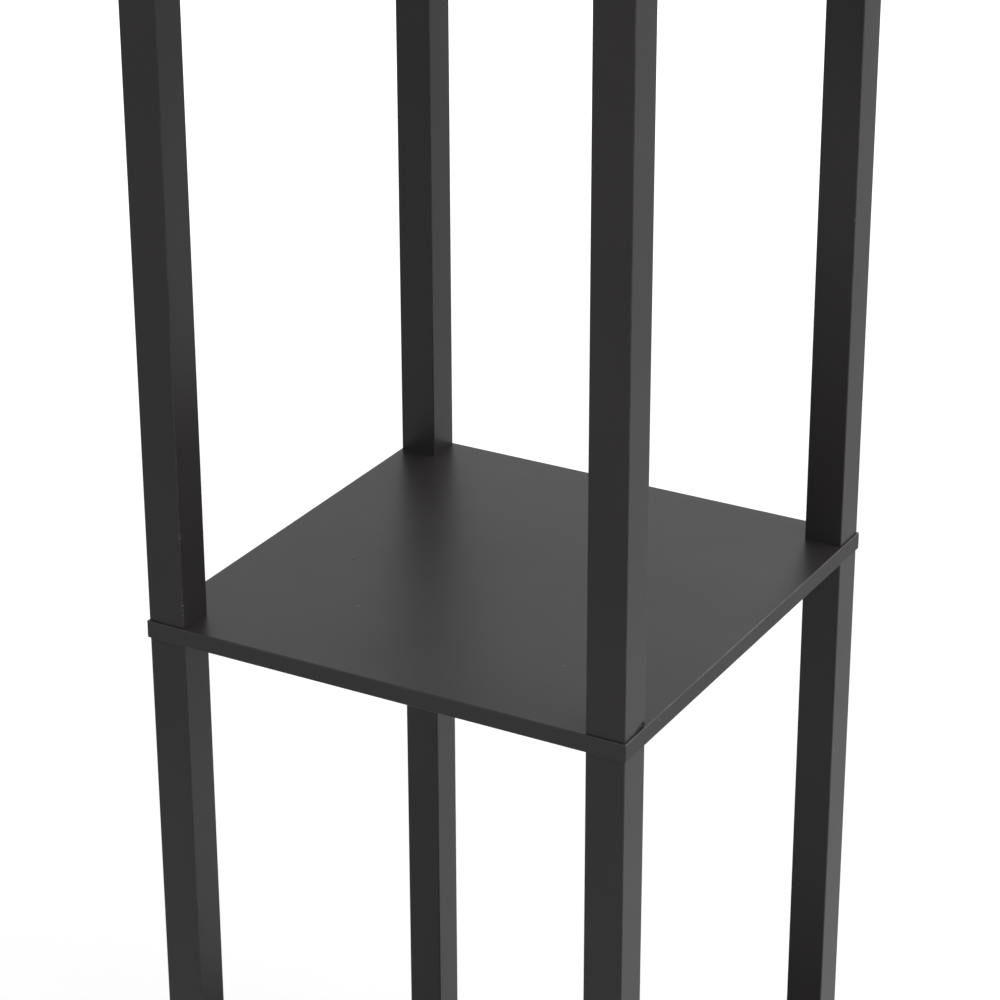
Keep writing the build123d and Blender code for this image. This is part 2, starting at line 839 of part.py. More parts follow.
# ---- Shade: a fabric skin on stiff sheet, glued round two square wires and bound with hems ----
shade_base = deck_top + shade_gap
shade_top = shade_base + shade_height
hem_side = board_side
skin_side = hem_side - 2 * (hem_thickness + glue_gap)
wire_side = skin_side - 2 * (shade_skin_thickness + glue_gap + frame_wire_radius)
skin_corner_radius = frame_bend_radius + frame_wire_radius + glue_gap + shade_skin_thickness
hem_lip_side = wire_side - 2 * frame_wire_radius
bottom_wire_height = shade_base + hem_thickness + glue_gap + frame_wire_radius
top_wire_height = shade_top - hem_thickness - glue_gap - frame_wire_radius

with BuildPart() as shade_skin:
    with BuildSketch(Plane.XY.offset(shade_base + hem_thickness)):
        RectangleRounded(skin_side, skin_side, skin_corner_radius)
        RectangleRounded(
            skin_side - 2 * shade_skin_thickness,
            skin_side - 2 * shade_skin_thickness,
            skin_corner_radius - shade_skin_thickness,
            mode=Mode.SUBTRACT,
        )
    extrude(amount=shade_height - 2 * hem_thickness)
save(shade_skin, "shade_skin")


def hem(end_height, direction):
    """A bound edge: a band on the skin's outside and a lip that turns in over its wire."""
    hem_corner_radius = skin_corner_radius + glue_gap + hem_thickness
    with BuildPart() as band:
        with BuildSketch(Plane.XY.offset(end_height)):
            RectangleRounded(hem_side, hem_side, hem_corner_radius)
            RectangleRounded(
                hem_side - 2 * hem_thickness,
                hem_side - 2 * hem_thickness,
                hem_corner_radius - hem_thickness,
                mode=Mode.SUBTRACT,
            )
        extrude(amount=direction * hem_height)
        with BuildSketch(Plane.XY.offset(end_height)):
            RectangleRounded(hem_side, hem_side, hem_corner_radius)
            Rectangle(hem_lip_side, hem_lip_side, mode=Mode.SUBTRACT)
        extrude(amount=direction * hem_thickness)
    return band


save(hem(shade_base, 1), "bottom_hem")
save(hem(shade_top, -1), "top_hem")


def square_wire(height):
    """A square of round wire: four straight sides and four bent corners."""
    half_straight = wire_side / 2 - frame_bend_radius
    with BuildPart() as square:
        for quarter in (0, 90, 180, 270):
            side_start = Vector(wire_side / 2, -half_straight, height).rotate(Axis.Z, quarter)
            bend_start = Vector(wire_side / 2, half_straight, height).rotate(Axis.Z, quarter)
            bend_centre = Vector(half_straight, half_straight, height).rotate(Axis.Z, quarter)
            along = Vector(0, 1, 0).rotate(Axis.Z, quarter)
            with BuildSketch(Plane(origin=side_start, z_dir=along)):
                Circle(frame_wire_radius)
            extrude(amount=2 * half_straight)
            with BuildSketch(Plane(origin=bend_start, z_dir=along)):
                Circle(frame_wire_radius)
            revolve(axis=Axis(bend_centre, (0, 0, 1)), revolution_arc=90)
    return square


top_frame = square_wire(top_wire_height)
save(top_frame, "top_frame")

# The fitter ring lies on the shoulder of the lamp holder, and four spokes carry the shade from it
fitter_inner_radius = socket_radius + shell_thread_depth + fitter_clearance
fitter_outer_radius = fitter_inner_radius + fitter_width
spoke_end_radius = fitter_outer_radius - spoke_bite
spoke_end_height = shoulder_top - fitter_sink

with BuildPart() as bottom_frame:
    add(square_wire(bottom_wire_height).part)
    for spoke_angle in (0, 90, 180, 270):
        spoke = bent_wire(
            [
                Vector(wire_side / 2, 0, bottom_wire_height).rotate(Axis.Z, spoke_angle),
                Vector(spoke_end_radius + spoke_flat, 0, spoke_end_height).rotate(Axis.Z, spoke_angle),
                Vector(spoke_end_radius, 0, spoke_end_height).rotate(Axis.Z, spoke_angle),
            ],
            spoke_radius,
        )
        add(spoke.part)
    with BuildSketch(Plane.XY.offset(shoulder_top)):
        Circle(fitter_outer_radius)
        Circle(fitter_inner_radius, mode=Mode.SUBTRACT)
    extrude(amount=fitter_thickness)
save(bottom_frame, "bottom_frame")

# ---- Shade ring: the grooved nut that clamps the fitter ring on the shoulder ----
ring_base = shoulder_top + fitter_thickness + ring_gap
ring_inner_radius = socket_radius + shell_thread_depth + ring_clearance
with BuildPart() as shade_ring:
    with BuildSketch(Plane.XY.offset(ring_base)):
        Circle(ring_radius)
    extrude(amount=ring_height)
    fillet(shade_ring.edges().filter_by(GeomType.CIRCLE), ring_edge_radius)
    with BuildSketch(Plane.XY.offset(ring_base)):
        Circle(ring_inner_radius)
        with PolarLocations(ring_radius, ring_grip_count):
            Circle(ring_grip_radius)
    extrude(amount=ring_height, mode=Mode.SUBTRACT)
save(shade_ring, "shade_ring")

# ---- Bulb: tip, threaded base, housing with its board, and the opal globe ----
base_bottom = tip_base + tip_height
base_thread_base = base_bottom + base_cone_height
base_top = base_bottom + base_height
bulb_tip = turned([(0, tip_base), (tip_radius, tip_base), (tip_radius, base_bottom), (0, base_bottom)])
save(bulb_tip, "bulb_tip")

bulb_base = turned(
    [(0, base_bottom), (base_cone_radius, base_bottom)]
    + thread_profile(
        base_crest_radius, base_thread_base, base_height - base_cone_height, edison_pitch, -edison_depth
    )
    + [(0, base_top)]
)
save(bulb_base, "bulb_base")

globe_centre = base_top + housing_height + globe_seat_drop
globe_seat = base_top + housing_height
globe_seat_radius = sqrt(bulb_radius**2 - globe_seat_drop**2)
globe_inner_radius = bulb_radius - globe_wall
globe_inner_seat_radius = sqrt(globe_inner_radius**2 - globe_seat_drop**2)
diagonal_share = sqrt(0.5)

with BuildPart() as bulb_housing:
    with BuildSketch(Plane.XZ):
        with BuildLine():
            Line((0, base_top), (base_crest_radius, base_top))
            Line((base_crest_radius, base_top), (base_crest_radius, base_top + housing_collar))
            Spline(
                (base_crest_radius, base_top + housing_collar),
                (globe_seat_radius, globe_seat),
                tangents=[(housing_flare_low, 1), (housing_flare_high, 1)],
            )
            Line((globe_seat_radius, globe_seat), (globe_seat_radius - housing_wall, globe_seat))
            Spline(
                (globe_seat_radius - housing_wall, globe_seat),
                (base_crest_radius - housing_wall, base_top + housing_collar),
                tangents=[(-housing_flare_high, -1), (-housing_flare_low, -1)],
            )
            Line(
                (base_crest_radius - housing_wall, base_top + housing_collar),
                (0, base_top + housing_collar),
            )
            Line((0, base_top + housing_collar), (0, base_top))
        make_face()
    revolve(axis=Axis.Z)
save(bulb_housing, "bulb_housing")

led_board_top = globe_seat - led_board_setback
led_board_radius = globe_inner_seat_radius - housing_wall
led_board = turned(
    [
        (0, led_board_top - led_board_thickness),
        (led_board_radius, led_board_top - led_board_thickness),
        (led_board_radius, led_board_top),
        (0, led_board_top),
    ]
)
save(led_board, "led_board")

with BuildPart() as bulb_globe:
    with BuildSketch(Plane.XZ):
        with BuildLine():
            ThreePointArc(
                (globe_seat_radius, globe_seat),
                (bulb_radius * diagonal_share, globe_centre + bulb_radius * diagonal_share),
                (0, globe_centre + bulb_radius),
            )
            Line((0, globe_centre + bulb_radius), (0, globe_centre + globe_inner_radius))
            ThreePointArc(
                (0, globe_centre + globe_inner_radius),
                (globe_inner_radius * diagonal_share, globe_centre + globe_inner_radius * diagonal_share),
                (globe_inner_seat_radius, globe_seat),
            )
            Line((globe_inner_seat_radius, globe_seat), (globe_seat_radius, globe_seat))
        make_face()
    revolve(axis=Axis.Z)
save(bulb_globe, "bulb_globe")
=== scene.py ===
import math

import bpy
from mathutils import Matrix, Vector


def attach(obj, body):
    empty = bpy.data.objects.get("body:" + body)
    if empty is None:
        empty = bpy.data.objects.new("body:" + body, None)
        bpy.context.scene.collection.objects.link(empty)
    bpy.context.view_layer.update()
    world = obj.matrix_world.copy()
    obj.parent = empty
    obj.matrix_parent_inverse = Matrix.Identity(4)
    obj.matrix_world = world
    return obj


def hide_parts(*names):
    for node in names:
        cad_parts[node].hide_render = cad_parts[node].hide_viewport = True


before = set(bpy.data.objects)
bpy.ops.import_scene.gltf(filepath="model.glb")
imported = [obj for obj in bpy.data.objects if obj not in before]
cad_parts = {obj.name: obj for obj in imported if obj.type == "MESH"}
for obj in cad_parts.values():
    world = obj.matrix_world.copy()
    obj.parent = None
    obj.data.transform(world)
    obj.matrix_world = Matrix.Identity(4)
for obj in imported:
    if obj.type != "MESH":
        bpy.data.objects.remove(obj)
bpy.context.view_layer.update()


# ---- Foot pads ----
# Four round glides of dark grey polyethylene, injection moulded, one under each post.
# One countersunk screw from below holds each of them.
pad_grey = (0.085, 0.085, 0.088, 1.0)
pad_scuff_grey = (0.17, 0.17, 0.165, 1.0)


def begin_finish(name, roughness, shine=0.5, metal=0.0):
    """A new finish; shine is how strongly it reflects when it is looked at squarely."""
    finish = bpy.data.materials.new(name)
    finish.use_nodes = True
    surface = finish.node_tree.nodes["Principled BSDF"]
    surface.inputs["Roughness"].default_value = roughness
    surface.inputs["Specular IOR Level"].default_value = shine
    surface.inputs["Metallic"].default_value = metal
    return finish


def step(finish, kind, sockets=(), **settings):
    """One node of a finish. sockets pairs an input's name or number with a value or with
    another node's output."""
    node = finish.node_tree.nodes.new("ShaderNode" + kind)
    for setting, value in settings.items():
        setattr(node, setting, value)
    for socket, value in sockets:
        if isinstance(value, bpy.types.NodeSocket):
            finish.node_tree.links.new(value, node.inputs[socket])
        else:
            node.inputs[socket].default_value = value
    return node


def real_place(finish):
    """Where a point of the piece is, in metres."""
    return step(finish, "TexCoord").outputs["Object"]


def sum_of(finish, operation, first, second=0.0, third=0.0):
    """The result of one sum."""
    sockets = [(0, first), (1, second), (2, third)]
    return step(finish, "Math", sockets, operation=operation).outputs[0]


def stretched(finish, place, factors):
    """The place, scaled by its own factor in each direction."""
    sockets = [(0, place), (1, factors)]
    return step(finish, "VectorMath", sockets, operation="MULTIPLY").outputs[0]


def mottle(finish, place, per_metre=1.0, detail=2.0):
    """Soft random mottling, from 0 to 1."""
    sockets = [("Vector", place), ("Scale", per_metre), ("Detail", detail)]
    return step(finish, "TexNoise", sockets).outputs[0]


def spread(finish, value, low, high, to_low=0.0, to_high=1.0):
    """Takes the part of value from low to high smoothly onto to_low to to_high."""
    sockets = [(0, value), (1, low), (2, high), (3, to_low), (4, to_high)]
    return step(finish, "MapRange", sockets, interpolation_type="SMOOTHSTEP").outputs[0]


def between(finish, share, first, second):
    """A colour that goes from first to second as share goes from 0 to 1."""
    return step(finish, "Mix", [(0, share), (6, first), (7, second)], data_type="RGBA").outputs[2]


def raised(finish, height, depth, below=None):
    """Relief of that depth in metres, on top of the relief below."""
    sockets = [("Height", height), ("Strength", 1.0), ("Distance", depth)]
    if below is not None:
        sockets.append(("Normal", below))
    return step(finish, "Bump", sockets).outputs[0]


def connect(finish, **inputs):
    """Joins outputs to the surface of a finish, as base_color=..., roughness=..., normal=..."""
    surface = finish.node_tree.nodes["Principled BSDF"]
    for name, output in inputs.items():
        finish.node_tree.links.new(output, surface.inputs[name.replace("_", " ").title()])
    return finish


def moulded(name, colour, worn, roughness, shine=0.5, grain=0.00003):
    """A moulded plastic: fine spark-eroded grain, a little drift of tone and light scuffs."""
    drift_per_metre = 90.0
    scuffs_per_metre = (260.0, 260.0, 900.0)
    most_scuffed = 0.6
    patches_per_metre = 240.0
    pits_per_metre = 3200.0
    glossiest = roughness - 0.04
    dullest = roughness + 0.06
    finish = begin_finish(name, roughness, shine)
    place = real_place(finish)
    drift = spread(finish, mottle(finish, place, drift_per_metre, detail=3.0), 0.3, 0.75)
    scuff_place = stretched(finish, place, scuffs_per_metre)
    scuffs = mottle(finish, scuff_place, detail=4.0)
    scuffs = spread(finish, scuffs, 0.58, 0.8, 0.0, most_scuffed)
    patches = mottle(finish, place, patches_per_metre)
    return connect(
        finish,
        base_color=between(finish, sum_of(finish, "MULTIPLY", drift, scuffs), colour, worn),
        roughness=spread(finish, patches, 0.3, 0.7, glossiest, dullest),
        normal=raised(finish, mottle(finish, place, pits_per_metre, detail=1.0), grain),
    )


def dress(finish, *nodes):
    """Gives CAD nodes a finish."""
    for node in nodes:
        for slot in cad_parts[node].material_slots:
            slot.material = finish


corners = ("front_left", "front_right", "rear_right", "rear_left")
pad_plastic = moulded("pad_plastic", pad_grey, pad_scuff_grey, roughness=0.55)
dress(pad_plastic, *["foot_pad_" + corner for corner in corners])


# ---- Posts ----
# Square hardwood posts 20 mm across in four lengths, planed, with arrises eased by hand.
# They are sprayed satin black before assembly and stand on the studs between the shelves.
post_middle = 0.119
post_half = 0.010
lacquer_black = (0.0262, 0.0236, 0.0246, 1.0)
lacquer_drift = (0.0302, 0.0273, 0.0284, 1.0)
# Rubbed lacquer on the arrises; on the boards' right-hand top arris it is also a painted
# highlight.
rubbed_and_highlight_black = (0.17, 0.165, 0.16, 1.0)
dust_grey = (0.10, 0.098, 0.095, 1.0)
chip_grey = (0.13, 0.125, 0.12, 1.0)
# Painted shade: near-black in tear-outs and in the gap at the foot of the front right post.
split_shade_black = (0.004, 0.004, 0.004, 1.0)
lacquer_gloss = 0.36
gloss_swing = 0.015
worn_dulling = 0.12
fibre_depth = 0.000012
peel_depth = 0.000010
nib_height = 0.00006
chip_depth = 0.00025
split_depth = 0.0012
post_shine = 0.20
post_wear = (0.0006, 0.02, 0.16)
post_fibre = (420.0, 420.0, 9.0)
post_chips = [
    (0.1290, 0.1087, 0.6267, 0.0011),
    (-0.1090, -0.1288, 0.5015, 0.0009),
    (-0.1090, -0.1289, 0.5000, 0.0008),
    (-0.1090, -0.1289, 0.4645, 0.0008),
    (-0.1090, -0.1289, 0.4618, 0.0008),
    (-0.1090, -0.1289, 0.4594, 0.0007),
    (0.1290, -0.1200, 0.4551, 0.0008),
]
# Painted shade in the gap at the foot of the front right post, just above the middle shelf.
post_splits_and_shade = [
    (0.1290, -0.1102, 0.4532, 0.0019),
    (0.1290, -0.1125, 0.4530, 0.0024),
    (0.1290, -0.1152, 0.4526, 0.0022),
    (0.1290, -0.1178, 0.4523, 0.0016),
]


def near_points(finish, place, points):
    """1 close to any of the points (x, y, z, radius), and 0 beyond its radius."""
    most = 0.0
    for x, y, z, radius in points:
        sockets = [(0, place), (1, (x, y, z))]
        reach = step(finish, "VectorMath", sockets, operation="DISTANCE").outputs["Value"]
        share = spread(finish, reach, radius * 0.5, radius, 1.0, 0.0)
        most = sum_of(finish, "MAXIMUM", most, share)
    return most


def beyond(finish, ordinate, half):
    """How far out an ordinate is from a face at half, on both sides of zero."""
    return sum_of(finish, "SUBTRACT", sum_of(finish, "ABSOLUTE", ordinate), half)


def post_arris(finish, place):
    """How near a point is to one of a post's four long arrises: 0 there, and below 0 inside."""
    axes = step(finish, "SeparateXYZ", [(0, place)])
    across = beyond(finish, beyond(finish, axes.outputs[0], post_middle), post_half)
    along = beyond(finish, beyond(finish, axes.outputs[1], post_middle), post_half)
    return sum_of(finish, "MINIMUM", across, along)


def lacquer(name, shine, arris, wear_and_highlight, fibre, chips, splits_and_shade, thirsty=None, dulling=0.0):
    """Satin black spray lacquer: faint fibre and orange peel, dust nibs, and arrises rubbed thin.
    wear is how far in the arrises are rubbed, and their least and most rubbing; on the boards the
    band also holds a painted highlight along the right-hand top arris. splits are tear-outs and
    gaps, painted near-black as the shade inside them. thirsty gives where it drinks the lacquer,
    and dulling how much duller it is there."""
    clouds_per_metre = 11.0
    rubs_per_metre = 75.0
    nibs_per_metre = 55.0
    nib_size = (0.018, 0.030)
    nib_chance = (0.90, 0.93)
    nib_strength = 0.5
    tears_per_metre = 1500.0
    patches_per_metre = 24.0
    peel_per_metre = 620.0
    arris_line = -0.0002
    worn_width, least_worn, most_worn = wear_and_highlight
    finish = begin_finish(name, lacquer_gloss, shine)
    place = real_place(finish)
    cloud = spread(finish, mottle(finish, place, clouds_per_metre, detail=3.0), 0.3, 0.7)
    body = between(finish, cloud, lacquer_black, lacquer_drift)

    edge = spread(finish, arris(finish, place), -worn_width, arris_line)
    rubs = mottle(finish, place, rubs_per_metre, detail=4.0)
    rubbed = spread(finish, rubs, 0.40, 0.70, least_worn, most_worn)
    # Rubbed arrises; on the boards' right-hand top arris this band is also a painted highlight.
    worn = sum_of(finish, "MULTIPLY", edge, rubbed)
    body = between(finish, worn, body, rubbed_and_highlight_black)

    specks = step(finish, "TexVoronoi", [("Vector", place), ("Scale", nibs_per_metre)])
    speck = spread(finish, specks.outputs["Distance"], *nib_size, 1.0, 0.0)
    chance = step(finish, "SeparateColor", [(0, specks.outputs["Color"])]).outputs[0]
    nibs = sum_of(finish, "MULTIPLY", speck, spread(finish, chance, *nib_chance))
    body = between(finish, sum_of(finish, "MULTIPLY", nibs, nib_strength), body, dust_grey)

    ragged = spread(finish, mottle(finish, place, tears_per_metre, detail=3.0), 0.42, 0.58)
    chipped = sum_of(finish, "MULTIPLY", near_points(finish, place, chips), ragged)
    body = between(finish, chipped, body, chip_grey)
    # Painted shade: the tear-outs and gaps go near-black.
    torn_and_shaded = sum_of(finish, "MULTIPLY", near_points(finish, place, splits_and_shade), ragged)
    body = between(finish, torn_and_shaded, body, split_shade_black)

    patches = mottle(finish, place, patches_per_metre, detail=3.0)
    glossiest = lacquer_gloss - gloss_swing
    dullest = lacquer_gloss + gloss_swing
    gloss = spread(finish, patches, 0.25, 0.75, glossiest, dullest)
    if thirsty:
        gloss = sum_of(finish, "MULTIPLY_ADD", thirsty(finish, place), dulling, gloss)
    fibres = mottle(finish, stretched(finish, place, fibre), detail=3.0)
    relief = raised(finish, fibres, fibre_depth)
    relief = raised(finish, mottle(finish, place, peel_per_metre), peel_depth, relief)
    relief = raised(finish, nibs, nib_height, relief)
    relief = raised(finish, sum_of(finish, "SUBTRACT", 1.0, chipped), chip_depth, relief)
    relief = raised(finish, sum_of(finish, "SUBTRACT", 1.0, torn_and_shaded), split_depth, relief)
    return connect(
        finish,
        base_color=body,
        roughness=sum_of(finish, "MULTIPLY_ADD", worn, worn_dulling, gloss),
        normal=relief,
    )


post_lacquer = lacquer(
    "post_lacquer", post_shine, post_arris, post_wear, post_fibre, post_chips, post_splits_and_shade
)
levels = ("foot", "lower", "middle", "upper")
dress(post_lacquer, *[level + "_post_" + corner for level in levels for corner in corners])


# ---- Shelves and top deck ----
# Four square boards of 9 mm fibreboard, edges eased, sprayed with the same satin black.
# Each lies across the four posts below it and stands about 1 mm proud of them all round.
board_shine = 0.245
edge_dulling = 0.16
# Wear on the boards' top arrises, with a wider band along the right-hand one that is a painted
# highlight.
board_wear_and_highlight = (0.0007, 0.42, 0.85)
kept_width = 0.0005
sawn_edge = (-0.0006, -0.0001)
board_half = 0.130
board_half_thickness = 0.0045
lowest_board_middle = 0.0585
board_spacing = 0.389
board_fibre = (14.0, 14.0, 300.0)
board_chips = [
    (-0.0493, -0.0668, 0.4520, 0.0012),
    (0.0687, -0.0743, 0.4520, 0.0011),
    (0.1296, -0.1010, 0.4519, 0.0011),
    (0.1300, -0.0965, 0.4500, 0.0010),
]
# Painted shade in two tear-outs in the middle shelf's top.
board_splits_and_shade = [
    (-0.0785, -0.0232, 0.4520, 0.0008),
    (-0.0772, -0.0214, 0.4520, 0.0006),
]


def board_arris_and_highlight(finish, place):
    """How near a point is to a board's upper arrises: 0 there, and below 0 inside.
    The right-hand arris's band reaches further in than the other three: there the rubbed colour
    is also a painted highlight, where light from the right would catch the eased arris."""
    axes = step(finish, "SeparateXYZ", [(0, place)])
    right = sum_of(finish, "SUBTRACT", axes.outputs[0], board_half)
    across = beyond(finish, axes.outputs[0], board_half)
    along = beyond(finish, axes.outputs[1], board_half)
    others = sum_of(finish, "SUBTRACT", sum_of(finish, "MAXIMUM", across, along), kept_width)
    lowest = lowest_board_middle - board_spacing / 2
    highest = lowest_board_middle + board_spacing / 2
    level = sum_of(finish, "WRAP", axes.outputs[2], highest, lowest)
    height = sum_of(finish, "SUBTRACT", level, lowest_board_middle + board_half_thickness)
    return sum_of(finish, "MINIMUM", sum_of(finish, "MAXIMUM", right, others), height)


def board_edge(finish, place):
    """1 on a board's sawn edges and 0 on its faces."""
    axes = step(finish, "SeparateXYZ", [(0, place)])
    across = beyond(finish, axes.outputs[0], board_half)
    along = beyond(finish, axes.outputs[1], board_half)
    return spread(finish, sum_of(finish, "MAXIMUM", across, along), *sawn_edge)


board_lacquer = lacquer(
    "board_lacquer",
    board_shine,
    board_arris_and_highlight,
    board_wear_and_highlight,
    board_fibre,
    board_chips,
    board_splits_and_shade,
    thirsty=board_edge,
    dulling=edge_dulling,
)
dress(board_lacquer, "bottom_shelf", "middle_shelf", "upper_shelf", "top_deck")


# ---- Studs, inserts, nipples and screws of the frame ----
# Zinc-plated steel, turned or cold-headed: studs in threaded inserts join the solid posts,
# threaded tubes join the hollow ones, and black oxide screws hold down the top deck.
turned_lines = (1200.0, 1200.0, 1200.0)
zinc_pale = (0.60, 0.61, 0.63, 1.0)
zinc_cloudy = (0.52, 0.53, 0.55, 1.0)
oxide_black = (0.020, 0.020, 0.022, 1.0)
oxide_grey = (0.055, 0.055, 0.058, 1.0)


def metalwork(name, colour, cloudy, roughness, metal=1.0, lines=turned_lines):
    """Worked metal: clouded plating and the fine lines that the tool left."""
    clouds_per_metre = 180.0
    line_depth = 0.000006
    brightest = roughness - 0.03
    dullest = roughness + 0.04
    finish = begin_finish(name, roughness, metal=metal)
    place = real_place(finish)
    cloud = spread(finish, mottle(finish, place, clouds_per_metre, detail=4.0), 0.3, 0.7)
    tool_lines = mottle(finish, stretched(finish, place, lines), detail=3.0)
    return connect(
        finish,
        base_color=between(finish, cloud, colour, cloudy),
        roughness=spread(finish, tool_lines, 0.25, 0.75, brightest, dullest),
        normal=raised(finish, tool_lines, line_depth),
    )


zinc_plate = metalwork("zinc_plate", zinc_pale, zinc_cloudy, roughness=0.34)
frame_fixings = ("pad_screws", "joint_studs", "stud_inserts", "column_nipples", "column_inserts")
dress(zinc_plate, *frame_fixings, "thin_nuts", "lamp_nipple", "small_screws")
black_oxide = metalwork("black_oxide", oxide_black, oxide_grey, roughness=0.42, metal=0.6)
dress(black_oxide, "deck_screws")


# ---- Gland, inner lead, wires and clips ----
# A moulded gland in the rear foot post takes the mains lead. Its round PVC sheath runs up the
# hollow posts and over the deck under two nylon saddles, and single wires go on from there to
# the switch and the lamp holder.
sheath_black = (0.016, 0.016, 0.017, 1.0)
sheath_bloom = (0.045, 0.045, 0.046, 1.0)
wire_white = (0.74, 0.73, 0.70, 1.0)
wire_yellowed = (0.66, 0.63, 0.56, 1.0)
nylon_natural = (0.72, 0.71, 0.66, 1.0)
nylon_shadow = (0.60, 0.59, 0.54, 1.0)
gland_black = (0.016, 0.016, 0.016, 1.0)
gland_worn = (0.060, 0.060, 0.060, 1.0)
nylon_depth = (0.002, 0.002, 0.0015)


def let_light_in(finish, share, depth):
    """Lets that share of the light into a plastic, as deep as depth for red, green and blue."""
    surface = finish.node_tree.nodes["Principled BSDF"]
    surface.inputs["Subsurface Weight"].default_value = share
    surface.inputs["Subsurface Radius"].default_value = depth


gland_plastic = moulded("gland_plastic", gland_black, gland_worn, roughness=0.45)
dress(gland_plastic, "cord_gland")
sheath = moulded("lead_sheath", sheath_black, sheath_bloom, roughness=0.50, shine=0.4)
dress(sheath, "inner_lead")
insulation = moulded("wire_insulation", wire_white, wire_yellowed, roughness=0.38)
dress(insulation, "fixture_wires")
nylon = moulded("clip_nylon", nylon_natural, nylon_shadow, roughness=0.42)
let_light_in(nylon, share=0.25, depth=nylon_depth)
dress(nylon, "lead_clips")


# ---- Bracket under the lamp holder ----
# A strap of 2 mm steel, blanked, bent to a bridge and zinc plated, screwed down across the
# wiring. Its rolled surface keeps fine lines along its length.
strap_lines = (60.0, 1600.0, 1600.0)
strap = metalwork("strap_steel", zinc_pale, zinc_cloudy, roughness=0.38, lines=strap_lines)
dress(strap, "socket_bracket")


# ---- Lamp holder ----
# A two-part holder moulded in black phenolic, with a glazed white insulator inside that
# carries the rolled nickel screw shell and the sprung brass centre contact.
holder_black = (0.014, 0.014, 0.015, 1.0)
holder_worn = (0.050, 0.050, 0.052, 1.0)
glaze_white = (0.78, 0.77, 0.73, 1.0)
glaze_grey = (0.66, 0.65, 0.61, 1.0)
nickel_pale = (0.66, 0.63, 0.58, 1.0)
nickel_dull = (0.52, 0.50, 0.46, 1.0)
brass_bright = (0.76, 0.57, 0.29, 1.0)
brass_dull = (0.67, 0.50, 0.25, 1.0)
rolled_lines = (300.0, 300.0, 5000.0)

holder_phenolic = moulded("holder_phenolic", holder_black, holder_worn, roughness=0.30)
dress(holder_phenolic, "socket_cap", "socket_shell")
glaze = moulded("insulator_glaze", glaze_white, glaze_grey, roughness=0.22, grain=0.00001)
dress(glaze, "socket_body")
rolled_nickel = metalwork(
    "rolled_nickel", nickel_pale, nickel_dull, roughness=0.28, lines=rolled_lines
)
dress(rolled_nickel, "screw_shell", "bulb_base")
satin_brass = metalwork("satin_brass", brass_bright, brass_dull, roughness=0.30)
dress(satin_brass, "centre_contact", "bulb_tip")


# ---- Pull switch and its chain ----
# A small brass-cased switch hangs through the deck. A ball chain with a turned bell on its end
# pulls the switch's sprung rod. Its beads are rolled from strip and crimped over short pins.
spring_grey = (0.50, 0.50, 0.52, 1.0)
spring_dark = (0.34, 0.34, 0.36, 1.0)
dress(satin_brass, "switch_case", "pull_rod", "pull_chain", "chain_bell")
spring_wire = metalwork("spring_wire", spring_grey, spring_dark, roughness=0.30)
dress(spring_wire, "switch_spring")


# ---- Wire frames of the shade ----
# Two square frames of steel wire, butt welded and dipped in white paint. The lower one has
# four spokes up to the ring that lies on the lamp holder's shoulder.
paint_white = (0.80, 0.80, 0.78, 1.0)
paint_shaded = (0.68, 0.68, 0.66, 1.0)
wire_paint = moulded("wire_paint", paint_white, paint_shaded, roughness=0.35, grain=0.00002)
dress(wire_paint, "top_frame", "bottom_frame")


# ---- Shade ----
# One strip of off-white linen laminated to white styrene film, wrapped round both frames and
# lapped and glued down one rear corner. The film is the smooth inner face.
shade_base = 1.2315
shade_top = 1.5875
skin_half = 0.12925
skin_thickness = 0.0008
skin_corner = 0.0061
skin_margin = 0.0008
skin_rise = 48
side_steps = 44
corner_steps = 8
panel_bow = 0.00035
ripple_depth = 0.00008
linen_pale = (0.92, 0.89, 0.825, 1.0)
linen_straw = (0.80, 0.755, 0.665, 1.0)
film_white = (0.82, 0.81, 0.78, 1.0)
film_grey = (0.72, 0.71, 0.68, 1.0)
cloth_roughness = 0.88
cloth_shine = 0.25
nap_strength = 0.12
nap_roughness = 0.4
thread_pitch = 0.00062
thread_relief = 0.00010
thread_wander = 0.0016
slub_width = 0.00095
slub_relief = 0.00012
slubs_per_metre = 22.0
# How far the painted shade in the gaps between the threads darkens the linen towards straw.
gap_shade = 0.22


def square_path(half, corner):
    """Points round a square with rounded corners, anticlockwise from the rear left, as
    (x, y, outward x, outward y)."""
    points = []
    for turn in range(4):
        heading = math.radians(180 + 90 * turn)
        out = Vector((math.cos(heading), math.sin(heading)))
        along = Vector((-out.y, out.x))
        flat = half - corner
        for i in range(side_steps):
            place = out * half + along * flat * (2 * i / side_steps - 1)
            points.append((place.x, place.y, out.x, out.y))
        for i in range(corner_steps):
            angle = heading + math.pi / 2 * i / corner_steps
            normal = Vector((math.cos(angle), math.sin(angle)))
            place = (out + along) * flat + normal * corner
            points.append((place.x, place.y, normal.x, normal.y))
    return points


def wandering_wave(along, across, turns, sway, slow_turns):
    """A wave along the cloth, from -1 to 1, that wanders as it crosses it."""
    return math.sin(turns * along + sway * math.sin(slow_turns * across))


def ring_mesh(name, rows):
    """A closed band from rows of points, each row one loop round the shade."""
    mesh = bpy.data.meshes.new(name)
    count = len(rows[0])
    places = [place for row in rows for place in row]
    faces = []
    for r in range(len(rows)):
        above = (r + 1) % len(rows)
        for i in range(count):
            ahead = (i + 1) % count
            low_edge = (r * count + i, r * count + ahead)
            faces.append(low_edge + (above * count + ahead, above * count + i))
    mesh.from_pydata(places, [], faces)
    mesh.shade_smooth()
    piece = bpy.data.objects.new(name, mesh)
    bpy.context.scene.collection.objects.link(piece)
    return piece


